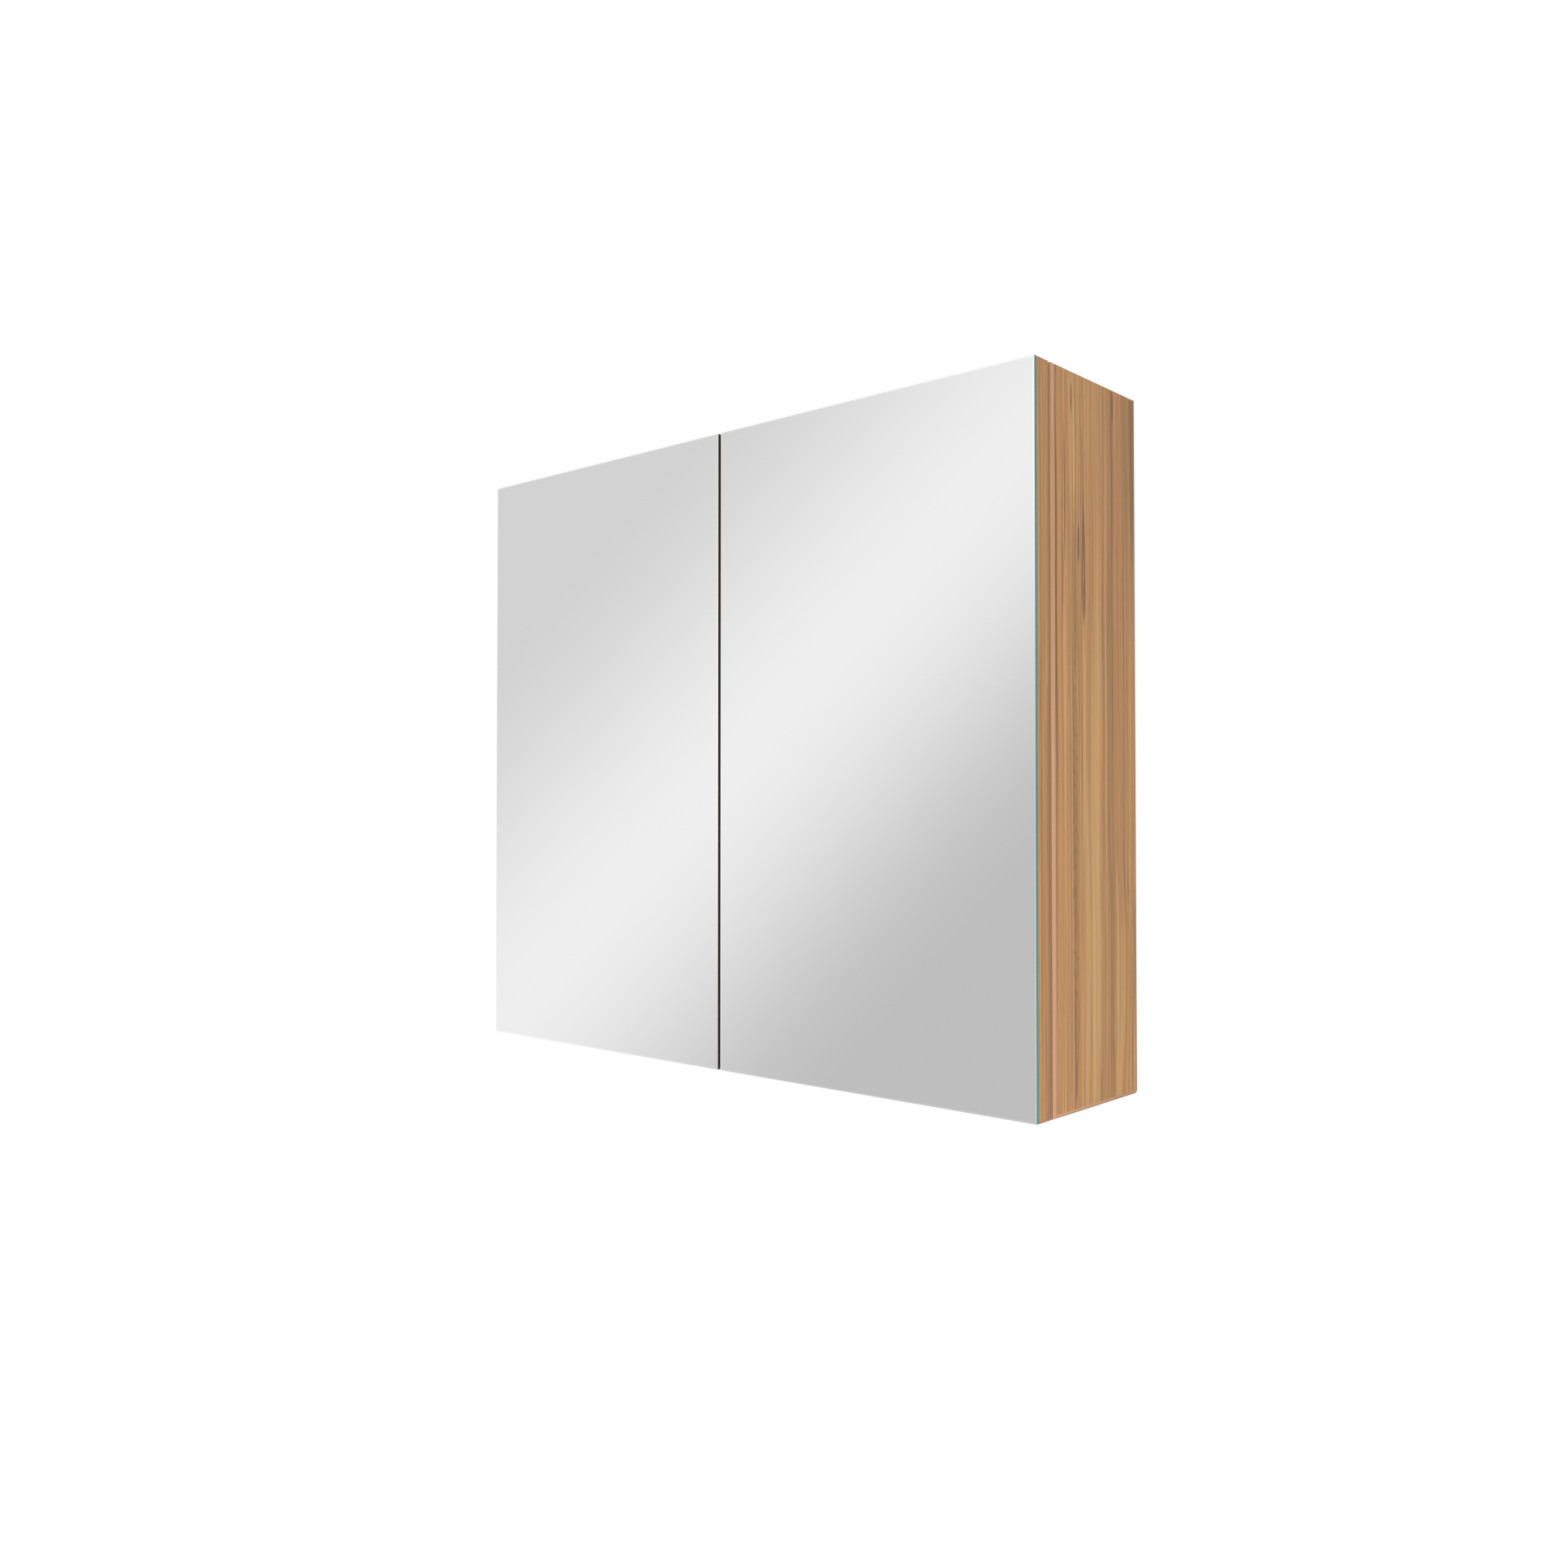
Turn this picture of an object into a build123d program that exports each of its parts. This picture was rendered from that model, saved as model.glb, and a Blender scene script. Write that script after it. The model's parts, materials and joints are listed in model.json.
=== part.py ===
from build123d import *
import math
import os

# Mirror cabinet for hanging on a wall, with two mirror doors.
# Millimetres. X runs along the wall, -Y is the front and +Z is up.
# The origin is on the wall, in the middle of the four wall screws.

# Overall sizes
cabinet_width = 800.0
cabinet_height = 700.0
carcass_depth = 165.0
wall_screw_drop = 66.0

# Carcass boards
panel_thickness = 16.0
back_thickness = 3.0
back_recess = 18.0
groove_depth = 8.0
groove_clearance = 0.2
back_edge_clearance = 0.7
front_lipping_depth = 8.0
lipping_round = 1.5
rear_band = 2.0
bottom_band = 3.0
top_band = 1.0
panel_front_band = 1.0
rear_corner_round = 4.0

# Corner dowels
dowel_radius = 4.0
dowel_length = 30.0
dowel_in_side = 10.0
dowel_clearance = 0.05
dowel_end_clearance = 0.5
dowel_front_margin = 25.0
dowel_count = 3

# Glass shelves and their pins
shelf_thickness = 6.0
shelf_side_clearance = 1.0
shelf_back_clearance = 1.0
shelf_setback = 20.0
shelf_edge_chamfer = 0.5
shelf_count = 2
shelf_pin_radius = 2.5
shelf_pin_inset = 9.0
shelf_pin_reach = 8.0
shelf_pin_margin = 25.0
shelf_hole_step = 32.0
shelf_hole_spares = 1
shelf_hole_depth = 10.0
shelf_hole_clearance = 0.05
sleeve_wall = 1.0
sleeve_length = 7.5
sleeve_clearance = 0.05
shelf_seat_gap = 0.1

# Doors
door_gap = 4.0
face_gap = 3.0
door_board = 19.0
door_edge_band = 1.0
bond_thickness = 1.0
bond_setback = 0.2
glass_thickness = 4.0
arris_width = 1.8
arris_depth = 0.3
bumper_radius = 4.0
bumper_clearance = 0.3
bumper_inset = 8.0
bumper_from_gap = 16.0

# Concealed hinges, measured in from the panel's inner face, forward from the
# carcass front, and for the cup from its centre and the back of the door
hinge_end_distance = 100.0
cup_center_in = 6.5
cup_radius = 17.45
cup_wall = 1.05
cup_depth = 13.0
cup_floor = 1.0
bore_clearance = 0.05
bore_floor_clearance = 0.3
flange_thickness = 1.2
flange_overlap = 1.5
ear_half_spacing = 24.0
ear_offset = 6.0
ear_half_width = 6.0
arm_pivot_outer_in = 17.77
arm_pivot_outer_out = -0.03
arm_pivot_inner_in = 25.05
arm_pivot_inner_out = -3.46
cup_pivot_outer_in = -10.06
cup_pivot_outer_deep = 6.41
cup_pivot_inner_in = -8.85
cup_pivot_inner_deep = 0.99
inner_eye_shift_in = 1.44
inner_eye_shift_out = 0.74
outer_link_bow = 7.75
inner_link_bow = 3.0
link_half_width = 1.7
eye_radius = 2.6
pin_radius = 1.25
pin_running_clearance = 0.05
pin_seat_clearance = 0.02
open_eye_clearance = 1.95
open_eye_wall = 1.15
link_layer_gap = 0.3
link_layer_height = 6.0
arm_wall = 1.5
arm_side_clearance = 0.4
arm_base_height = 3.0
arm_nose_radius = 2.4
plate_base = 2.5
plate_height = 7.0
plate_rear = 57.0
plate_front = 17.0
plate_screw_setback = 37.0
plate_screw_half_spacing = 16.0
wing_half_length = 23.0
wing_half_width = 8.0
plate_screw_radius = 2.5
plate_screw_depth = 11.0
plate_screw_head_radius = 3.9
plate_screw_head_height = 2.0
screw_hole_clearance = 0.05
arm_screw_radius = 2.9
arm_screw_head_radius = 4.5
arm_screw_head_height = 2.2
arm_fixing_setback = 50.0
arm_adjusting_setback = 26.0
arm_screw_depth = 6.0
cup_screw_radius = 1.75
cup_screw_depth = 12.0
cup_screw_head_radius = 3.0
cup_screw_head_height = 0.5

# Hangers inside the upper rear corners, and their plates on the wall
hanger_width = 20.0
hanger_depth = 36.0
hanger_height = 48.0
hanger_wall = 2.0
hook_width = 10.0
hook_thickness = 2.5
hook_clearance = 0.5
hook_drop = 12.0
hook_leg = 24.0
hanger_screw_radius = 3.0
hanger_screw_head_radius = 4.5
hanger_screw_head_height = 2.5
hanger_screw_spacing = 14.0
cover_wall = 1.2
cover_clearance = 0.3
cover_head_room = 4.0
slot_clearance = 2.0
wall_plate_width = 29.7
wall_plate_side_clearance = 0.3
wall_plate_thickness = 2.0
wall_plate_below = 18.0
ledge_height = 20.0
ledge_reach = 10.0
lip_height = 12.0
wall_hole_radius = 3.0
wall_hole_half_spacing = 9.0

# Places worked out from the sizes
top = wall_screw_drop
bottom = top - cabinet_height
half_width = cabinet_width / 2
inner_half = half_width - panel_thickness
carcass_front = -carcass_depth
door_back = carcass_front - face_gap
board_front = door_back - door_board
bond_front = board_front - bond_thickness
glass_front = bond_front - glass_thickness
back_rear_face = -back_recess
back_front_face = back_rear_face - back_thickness
hinge_heights = {
    "upper": top - hinge_end_distance,
    "lower": bottom + hinge_end_distance,
}


def block(low, high):
    """Box between two corners."""
    size = [b - a for a, b in zip(low, high)]
    corner = (Align.MIN, Align.MIN, Align.MIN)
    return Pos(*low) * Box(*size, align=corner)


def rod(start, direction, radius, length):
    """Cylinder of one radius from a start point along a direction."""
    plane = Plane(origin=start, z_dir=direction)
    return plane * Cylinder(radius, length, align=(Align.CENTER, Align.CENTER, Align.MIN))


def group(solids):
    """Several separate solids that share one node."""
    return Compound(children=list(solids))


def both_sides(shape):
    """A solid of the right side and its mirror image on the left."""
    return [shape, mirror(shape, about=Plane.YZ)]


def save(name, shape):
    shape.label = name
    export_step(shape, f"parts/{name}.step")


def save_pair(name, right):
    """Save a right-hand piece and its left-hand mirror image."""
    save(f"right_{name}", right)
    save(f"left_{name}", mirror(right, about=Plane.YZ))


# Places of the shelf pins and of the other holes in their rows
pin_rows = [back_front_face - shelf_back_clearance - shelf_pin_margin]
pin_rows.append(carcass_front + shelf_setback + shelf_pin_margin)
clear_height = cabinet_height - 2 * panel_thickness
shelf_pitch = (clear_height - shelf_count * shelf_thickness) / (shelf_count + 1)
sleeve_bore = shelf_pin_radius + sleeve_clearance
sleeve_radius = sleeve_bore + sleeve_wall


def shelf_bottom(index):
    """Height of the underside of a shelf, counted from the lowest."""
    start = bottom + panel_thickness
    return start + shelf_pitch * (index + 1) + shelf_thickness * index


def pin_height(index):
    return shelf_bottom(index) - shelf_seat_gap - sleeve_radius


def shelf_holes():
    """Pin holes in the inner face of the right side panel."""
    radius = shelf_pin_radius + shelf_hole_clearance
    holes = []
    for index in range(shelf_count):
        for step in range(-shelf_hole_spares, shelf_hole_spares + 1):
            z = pin_height(index) + step * shelf_hole_step
            for y in pin_rows:
                holes.append(rod((inner_half, y, z), (1, 0, 0), radius, shelf_hole_depth))
    return holes


# Dowels run from the top and bottom panels into the side panels
dowel_span = carcass_depth - back_recess - back_thickness - 2 * dowel_front_margin
dowel_rows = []
for dowel_index in range(dowel_count):
    share = dowel_index / (dowel_count - 1)
    dowel_rows.append(carcass_front + dowel_front_margin + share * dowel_span)
panel_middles = [top - panel_thickness / 2, bottom + panel_thickness / 2]


def dowels(radius, end_gap):
    """Dowels of the right side, or their holes when given a wider radius."""
    start = inner_half + dowel_in_side + end_gap
    length = dowel_length + 2 * end_gap
    shapes = []
    for z in panel_middles:
        for y in dowel_rows:
            shapes.append(rod((start, y, z), (-1, 0, 0), radius, length))
    return shapes


dowel_holes = dowels(dowel_radius + dowel_clearance, dowel_end_clearance)


def back_groove():
    """Room for the back panel's edge all round, as one plate."""
    reach = inner_half + groove_depth
    low_z = bottom + panel_thickness - groove_depth
    high_z = top - panel_thickness + groove_depth
    low = (-reach, back_front_face - groove_clearance, low_z)
    high = (reach, back_rear_face + groove_clearance, high_z)
    return block(low, high)


groove = back_groove()


def side_outline():
    """Right side panel with its lipping and bands as one block."""
    shape = block((inner_half, carcass_front, bottom), (half_width, 0, top))
    rear_corner = shape.edges().filter_by(Axis.X).sort_by(Axis.Y)[-2:].sort_by(Axis.Z)[0]
    shape = fillet(rear_corner, rear_corner_round)
    front_edges = shape.edges().filter_by(Axis.Z).sort_by(Axis.Y)[:2]
    return fillet(front_edges, lipping_round)


def side_pieces():
    """Right side panel, front lipping and the bands on its other edges."""
    outline = side_outline()
    lipping_back = carcass_front + front_lipping_depth
    band_front = -rear_band
    low_z = bottom + bottom_band
    high_z = top - top_band
    x0 = inner_half
    x1 = half_width
    core = outline & block((x0, lipping_back, low_z), (x1, band_front, high_z))
    lipping = outline & block((x0, carcass_front, bottom), (x1, lipping_back, top))
    rear = outline & block((x0, band_front, bottom), (x1, 0, top))
    lower = outline & block((x0, lipping_back, bottom), (x1, band_front, low_z))
    upper = outline & block((x0, lipping_back, high_z), (x1, band_front, top))
    core = core - groove
    core = core - dowel_holes
    core = core - shelf_holes()
    core = core - hinge_plate_holes()
    return core, lipping, [rear, lower, upper]


def cross_panel(low_z):
    """Top or bottom panel between the sides, without its front band."""
    front = carcass_front + panel_front_band
    panel = block((-inner_half, front, low_z), (inner_half, 0, low_z + panel_thickness))
    left_holes = [mirror(hole, about=Plane.YZ) for hole in dowel_holes]
    return panel - groove - dowel_holes - left_holes


def cross_band(low_z):
    """Front edge band of the top or bottom panel."""
    low = (-inner_half, carcass_front, low_z)
    return block(low, (inner_half, carcass_front + panel_front_band, low_z + panel_thickness))


def shelf(index):
    """Glass shelf that rests on four pins."""
    half = inner_half - shelf_side_clearance
    z = shelf_bottom(index)
    low = (-half, carcass_front + shelf_setback, z)
    plate = block(low, (half, back_front_face - shelf_back_clearance, z + shelf_thickness))
    return chamfer(plate.edges(), shelf_edge_chamfer)


def shelf_pins():
    """Steel pins in the right side panel."""
    length = shelf_pin_inset + shelf_pin_reach
    shapes = []
    for index in range(shelf_count):
        for y in pin_rows:
            start = (inner_half + shelf_pin_inset, y, pin_height(index))
            shapes.append(rod(start, (-1, 0, 0), shelf_pin_radius, length))
    return shapes


def shelf_sleeves():
    """Soft sleeves on the pins, which the glass rests on."""
    shapes = []
    for index in range(shelf_count):
        for y in pin_rows:
            start = (inner_half - sleeve_clearance, y, pin_height(index))
            outer = rod(start, (-1, 0, 0), sleeve_radius, sleeve_length)
            shapes.append(outer - rod(start, (-1, 0, 0), sleeve_bore, sleeve_length))
    return shapes


# Hinge geometry of the right side in its own plane: U runs in from the
# cabinet's outer side face and V runs forward from the carcass front
cup_u = panel_thickness + cup_center_in
arm_outer = Vector(panel_thickness + arm_pivot_outer_in, arm_pivot_outer_out)
arm_inner = Vector(panel_thickness + arm_pivot_inner_in, arm_pivot_inner_out)
cup_outer = Vector(cup_u + cup_pivot_outer_in, face_gap + cup_pivot_outer_deep)
cup_inner = Vector(cup_u + cup_pivot_inner_in, face_gap + cup_pivot_inner_deep)
inner_eye = cup_inner + Vector(inner_eye_shift_in, inner_eye_shift_out)
link_top = link_layer_gap + link_layer_height
cheek_inner = link_top + arm_side_clearance
cheek_outer = cheek_inner + arm_wall


def place(shape, height):
    """Carry a shape from the hinge's own plane to the right side of the cabinet."""
    return Pos(half_width, carcass_front, height) * Rot(0, 0, 180) * shape


def layer(sketch, low, high):
    """Extrude a sketch of the hinge plane between two heights."""
    return Pos(0, 0, low) * extrude(sketch, high - low)


def bowed_bar(start, end, bow):
    """Curved bar between two pivots, bulging away from the carcass."""
    chord = end - start
    normal = Vector(-chord.Y, chord.X).normalized()
    if normal.Y < 0:
        normal = normal * -1
    middle = (start + end) * 0.5 + normal * bow
    return SlotArc(ThreePointArc(start, middle, end), 2 * link_half_width)


def disc(center, radius):
    return Pos(center.X, center.Y) * Circle(radius)


running_hole = pin_radius + pin_running_clearance
open_hole = pin_radius + open_eye_clearance


def outer_link():
    """Link from the arm's front pivot to the deep cup pivot, in the upper layer."""
    face = bowed_bar(arm_outer, cup_outer, outer_link_bow)
    face += disc(arm_outer, eye_radius)
    face += disc(cup_outer, eye_radius)
    face -= disc(arm_outer, running_hole)
    face -= disc(cup_outer, running_hole)
    return layer(face, link_layer_gap, link_top)


def inner_link():
    """Link from the arm's rear pivot to the shallow cup pivot, in the lower layer."""
    face = bowed_bar(arm_inner, inner_eye, inner_link_bow)
    face += disc(arm_inner, eye_radius)
    face += disc(inner_eye, open_hole + open_eye_wall)
    face -= disc(arm_inner, running_hole)
    face -= disc(inner_eye, open_hole)
    return layer(face, -link_top, -link_layer_gap)


def arm_pins():
    """Pins of both links in the arm."""
    outer = layer(disc(arm_outer, pin_radius), link_layer_gap, cheek_outer)
    inner = layer(disc(arm_inner, pin_radius), -cheek_outer, -link_layer_gap)
    return [outer, inner]


def half_chord(center):
    """Half the length of a pin that crosses the cup at a pivot."""
    offset = abs(center.X - cup_u) + pin_radius
    return math.sqrt((cup_radius - cup_wall / 2) ** 2 - offset ** 2)


def cup_pins():
    """Pins of both links in the cup, each held at the cup's wall."""
    outer = layer(disc(cup_outer, pin_radius), link_layer_gap, half_chord(cup_outer))
    inner = layer(disc(cup_inner, pin_radius), -half_chord(cup_inner), -link_layer_gap)
    return [outer, inner]


def along_v(center_u, start_v, radius, length):
    """Cylinder that runs forward in the hinge plane, at mid height."""
    return rod((center_u, start_v, 0), (0, 1, 0), radius, length)


def hinge_cup():
    """Pressed cup with a flange, and a boss for each pin."""
    body = along_v(cup_u, face_gap, cup_radius, cup_depth)
    flange_start = face_gap - flange_thickness
    flange = along_v(cup_u, flange_start, cup_radius + flange_overlap, flange_thickness)
    ear_u = cup_u + ear_offset
    ear_top = ear_half_spacing + ear_half_width
    ears = block(
        (ear_u - ear_half_width, flange_start, -ear_top),
        (ear_u + ear_half_width, face_gap, ear_top),
    )
    ears = fillet(ears.edges().filter_by(Axis.Y), ear_half_width / 2)
    shell = body + flange + ears
    cavity_radius = cup_radius - cup_wall
    cavity_depth = cup_depth - cup_floor + flange_thickness
    shell -= along_v(cup_u, flange_start, cavity_radius, cavity_depth)
    boss_radius = pin_radius + cup_wall
    outer_boss = layer(disc(cup_outer, boss_radius), cheek_inner, cup_radius)
    inner_boss = layer(disc(cup_inner, boss_radius), -cup_radius, -cheek_inner)
    room = along_v(cup_u, flange_start, cup_radius, cup_depth + flange_thickness)
    shell += (outer_boss + inner_boss) & room
    seat = pin_radius + pin_seat_clearance
    shell -= layer(disc(cup_outer, seat), 0, half_chord(cup_outer) + pin_seat_clearance)
    shell -= layer(disc(cup_inner, seat), -half_chord(cup_inner) - pin_seat_clearance, 0)
    for side in (-1, 1):
        start = (ear_u, flange_start, side * ear_half_spacing)
        hole = cup_screw_radius + screw_hole_clearance
        shell -= rod(start, (0, 1, 0), hole, flange_thickness)
    return shell


def cup_bores():
    """Room in the door board for the cup and its screws."""
    radius = cup_radius + bore_clearance
    shapes = [along_v(cup_u, face_gap, radius, cup_depth + bore_floor_clearance)]
    for side in (-1, 1):
        start = (cup_u + ear_offset, face_gap, side * ear_half_spacing)
        hole = cup_screw_radius + screw_hole_clearance
        shapes.append(rod(start, (0, 1, 0), hole, cup_screw_depth + bore_floor_clearance))
    return shapes


def cup_screws():
    """Two wood screws through the flange."""
    shapes = []
    flange_start = face_gap - flange_thickness
    for side in (-1, 1):
        start = (cup_u + ear_offset, flange_start, side * ear_half_spacing)
        shank = rod(start, (0, 1, 0), cup_screw_radius, cup_screw_depth + flange_thickness)
        head = rod(start, (0, -1, 0), cup_screw_head_radius, cup_screw_head_height)
        shapes.append(shank + head)
    return shapes


def hinge_plate():
    """Mounting plate: a rail on the panel with a wing on each side."""
    u0 = panel_thickness
    rail = block((u0, -plate_rear, -cheek_inner + arm_side_clearance),
                 (u0 + plate_height, -plate_front, cheek_inner - arm_side_clearance))
    wings = block((u0, -plate_screw_setback - wing_half_width, -wing_half_length),
                  (u0 + plate_base, -plate_screw_setback + wing_half_width, wing_half_length))
    wings = fillet(wings.edges().filter_by(Axis.X), wing_half_width / 2)
    plate = rail + wings
    hole = plate_screw_radius + screw_hole_clearance
    for side in (-1, 1):
        start = (u0, -plate_screw_setback, side * plate_screw_half_spacing)
        plate -= rod(start, (1, 0, 0), hole, plate_base)
    hole = arm_screw_radius + screw_hole_clearance
    for setback in (arm_fixing_setback, arm_adjusting_setback):
        start = (u0 + plate_height, -setback, 0)
        plate -= rod(start, (-1, 0, 0), hole, arm_screw_depth - arm_wall + screw_hole_clearance)
    return plate


def hinge_plate_holes():
    """Holes in the right side panel for the screws of both plates."""
    radius = plate_screw_radius + screw_hole_clearance
    shapes = []
    for height in hinge_heights.values():
        for side in (-1, 1):
            start = (panel_thickness, -plate_screw_setback, side * plate_screw_half_spacing)
            hole = rod(start, (-1, 0, 0), radius, plate_screw_depth + bore_floor_clearance)
            shapes.append(place(hole, height))
    return shapes


def plate_screws():
    """Two screws that hold the plate to the panel."""
    shapes = []
    for side in (-1, 1):
        seat = (panel_thickness + plate_base, -plate_screw_setback, side * plate_screw_half_spacing)
        shank = rod(seat, (-1, 0, 0), plate_screw_radius, plate_base + plate_screw_depth)
        head = rod(seat, (1, 0, 0), plate_screw_head_radius, plate_screw_head_height)
        shapes.append(shank + head)
    return shapes


def hinge_arm():
    """Channel on the mounting plate, with cheeks that carry the links at its nose."""
    web_under = panel_thickness + plate_height
    web_over = web_under + arm_wall
    foot = panel_thickness + arm_base_height
    straight = Pos((foot + web_over) / 2, (-plate_rear - plate_front) / 2)
    cheek = straight * Rectangle(web_over - foot, plate_rear - plate_front)
    front_circle = Pos(arm_outer.X, arm_outer.Y) * Circle(arm_nose_radius).edge()
    rear_circle = Pos(arm_inner.X, arm_inner.Y) * Circle(arm_nose_radius).edge()
    channel_end = Line((foot, -plate_front), (web_over, -plate_front))
    cheek += make_hull([front_circle, rear_circle])
    cheek += make_hull([rear_circle, channel_end])
    upper = layer(cheek, cheek_inner, cheek_outer)
    lower = layer(cheek, -cheek_outer, -cheek_inner)
    web = block((web_under, -plate_rear, -cheek_outer), (web_over, -plate_front, cheek_outer))
    arm = upper + lower + web
    seat = pin_radius + pin_seat_clearance
    arm -= layer(disc(arm_outer, seat), cheek_inner, cheek_outer)
    arm -= layer(disc(arm_inner, seat), -cheek_outer, -cheek_inner)
    hole = arm_screw_radius + screw_hole_clearance
    for setback in (arm_fixing_setback, arm_adjusting_setback):
        arm -= rod((web_over, -setback, 0), (-1, 0, 0), hole, arm_wall)
    return arm


def arm_screws():
    """Fixing screw and side adjusting screw of the arm."""
    shapes = []
    seat = panel_thickness + plate_height + arm_wall
    for setback in (arm_fixing_setback, arm_adjusting_setback):
        shank = rod((seat, -setback, 0), (-1, 0, 0), arm_screw_radius, arm_screw_depth)
        head = rod((seat, -setback, 0), (1, 0, 0), arm_screw_head_radius, arm_screw_head_height)
        shapes.append(shank + head)
    return shapes


def door_board_pieces():
    """Right door board and the bands on its four edges."""
    x0 = door_gap / 2
    x1 = half_width
    band = door_edge_band
    core = block((x0 + band, board_front, bottom + band), (x1 - band, door_back, top - band))
    for height in hinge_heights.values():
        core -= [place(bore, height) for bore in cup_bores()]
    bands = [
        block((x0, board_front, bottom), (x0 + band, door_back, top)),
        block((x1 - band, board_front, bottom), (x1, door_back, top)),
        block((x0 + band, board_front, bottom), (x1 - band, door_back, bottom + band)),
        block((x0 + band, board_front, top - band), (x1 - band, door_back, top)),
    ]
    return core, bands


def mirror_bond():
    """Adhesive bed between the board and the mirror."""
    low = (door_gap / 2 + bond_setback, bond_front, bottom + bond_setback)
    return block(low, (half_width - bond_setback, board_front, top - bond_setback))


def mirror_pane():
    """Mirror pane with a flat polished arris round its front."""
    x0 = door_gap / 2
    middle = ((x0 + half_width) / 2, (top + bottom) / 2)
    width = half_width - x0
    arris_back = glass_front + arris_depth
    pane = block((x0, arris_back, bottom), (half_width, bond_front, top))
    front = Plane(origin=(middle[0], arris_back, middle[1]), x_dir=(1, 0, 0), z_dir=(0, -1, 0))
    full = front * Rectangle(width, cabinet_height)
    small = front.offset(arris_depth) * Rectangle(
        width - 2 * arris_width, cabinet_height - 2 * arris_width
    )
    return pane + loft([full, small])


def bumpers():
    """Soft bumpers on the back of the right door, near its free corners."""
    thickness = face_gap - bumper_clearance
    shapes = []
    for z in (top - bumper_inset, bottom + bumper_inset):
        start = (door_gap / 2 + bumper_from_gap, door_back, z)
        pad = rod(start, (0, 1, 0), bumper_radius, thickness)
        rim = pad.edges().filter_by(GeomType.CIRCLE).sort_by(Axis.Y)[-1]
        shapes.append(fillet(rim, thickness / 2))
    return shapes


# Hangers of the right side. The hook's tongue passes through the back panel
# and rests on the lip of the wall plate
lip_top = ledge_height + lip_height
tongue_top = lip_top + hook_thickness
hanger_x1 = inner_half
hanger_x0 = hanger_x1 - hanger_width
hanger_middle = (hanger_x0 + hanger_x1) / 2
hanger_front = back_front_face - hanger_depth
hanger_top = top - panel_thickness
hanger_bottom = hanger_top - hanger_height
leg_front = hanger_front + hanger_wall + hook_clearance + hanger_screw_head_height


def hanger_screw_heights():
    upper = tongue_top - hook_thickness - hanger_screw_head_radius
    return [upper, upper - hanger_screw_spacing]


def hanger_hook():
    """Bent steel strip that hooks over the lip of the wall plate."""
    half = hook_width / 2
    x0 = hanger_middle - half
    x1 = hanger_middle + half
    end_y = -ledge_reach + wall_plate_thickness + hook_clearance + hook_thickness
    tongue = block((x0, leg_front, lip_top), (x1, end_y, tongue_top))
    leg_low = tongue_top - hook_leg - hook_thickness
    leg = block((x0, leg_front, leg_low), (x1, leg_front + hook_thickness, tongue_top))
    claw_low = tongue_top - hook_drop
    claw = block((x0, end_y - hook_thickness, claw_low), (x1, end_y, tongue_top))
    return tongue + leg + claw


def hanger_housing():
    """Open-backed housing against the side panel, under the top panel."""
    shell = block((hanger_x0, hanger_front, hanger_bottom), (hanger_x1, back_front_face, hanger_top))
    wall = hanger_wall
    shell -= block((hanger_x0 + wall, hanger_front + wall, hanger_bottom + wall),
                   (hanger_x1 - wall, back_front_face, hanger_top - wall))
    hole = hanger_screw_radius + screw_hole_clearance
    for z in hanger_screw_heights():
        shell -= rod((hanger_middle, hanger_front, z), (0, 1, 0), hole, wall)
    return shell


def hanger_screws():
    """Height and depth screws of one hanger."""
    shapes = []
    for z in hanger_screw_heights():
        seat = (hanger_middle, hanger_front, z)
        shank = rod(seat, (0, 1, 0), hanger_screw_radius, leg_front - hanger_front)
        head = rod(seat, (0, -1, 0), hanger_screw_head_radius, hanger_screw_head_height)
        shapes.append(shank + head)
    return shapes


def hanger_cover():
    """Cap over the front and the free side of the housing."""
    gap = cover_clearance
    wall = cover_wall
    front = hanger_front - cover_head_room
    outer = block((hanger_x0 - gap - wall, front - wall, hanger_bottom - gap - wall),
                  (hanger_x1, back_front_face, hanger_top))
    inner = block((hanger_x0 - gap, front, hanger_bottom - gap), (hanger_x1, back_front_face, hanger_top))
    edges = outer.edges().filter_by(Axis.Z).sort_by(Axis.Y)[:2].sort_by(Axis.X)[:1]
    return fillet(edges, wall) - inner


def wall_plate():
    """Plate on the wall with a ledge and an upturned lip."""
    x1 = inner_half - wall_plate_side_clearance
    x0 = x1 - wall_plate_width
    t = wall_plate_thickness
    back = block((x0, -t, -wall_plate_below), (x1, 0, ledge_height))
    ledge = block((x0, -ledge_reach, ledge_height - t), (x1, 0, ledge_height))
    lip = block((x0, -ledge_reach, ledge_height - t), (x1, -ledge_reach + t, lip_top))
    plate = back + ledge + lip
    for side in (-1, 1):
        start = (hanger_middle, -t, side * wall_hole_half_spacing)
        plate -= rod(start, (0, 1, 0), wall_hole_radius, t)
    return plate


def back_panel():
    """Thin back panel in the grooves, slotted for the hooks."""
    reach = inner_half + groove_depth - back_edge_clearance
    low_z = bottom + panel_thickness - groove_depth + back_edge_clearance
    high_z = top - panel_thickness + groove_depth - back_edge_clearance
    panel = block((-reach, back_front_face, low_z), (reach, back_rear_face, high_z))
    half = hook_width / 2 + slot_clearance
    for side in (-1, 1):
        x = side * hanger_middle
        low = (x - half, back_front_face, lip_top - slot_clearance)
        panel -= block(low, (x + half, back_rear_face, tongue_top + slot_clearance))
    return panel


os.makedirs("parts", exist_ok=True)

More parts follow.
